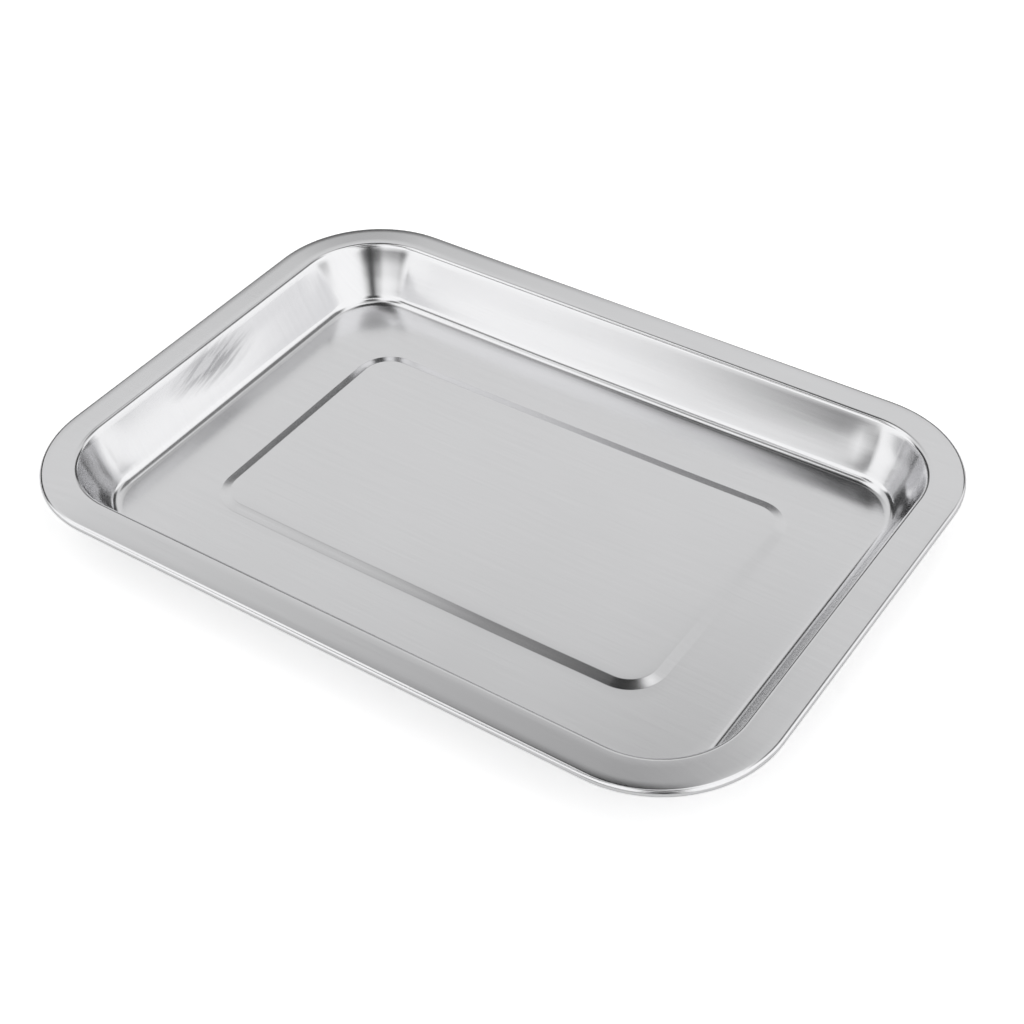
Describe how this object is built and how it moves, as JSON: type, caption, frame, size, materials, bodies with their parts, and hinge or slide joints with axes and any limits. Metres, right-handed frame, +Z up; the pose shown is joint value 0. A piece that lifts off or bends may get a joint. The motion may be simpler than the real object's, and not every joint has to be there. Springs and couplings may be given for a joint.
{
  "type": "serving tray",
  "caption": "Shallow rectangular stainless steel serving tray with rounded corners, sloping walls, a flat rim with a rolled wired edge, and a raised centre panel.",
  "frame": {"origin": "middle of the flat resting face, under the centre of the tray", "axes": "+X along the tray's long side, +Y along its short side, +Z up out of the well"},
  "size_m": [0.35, 0.25, 0.027],
  "materials": {
    "stainless_sheet": "satin, finely brushed along the tray",
    "steel_wire": "drawn, plain"
  },
  "bodies": {
    "root": {"tray_pan": "stainless_sheet", "rim_wire": "steel_wire"}
  },
  "joints": []
}
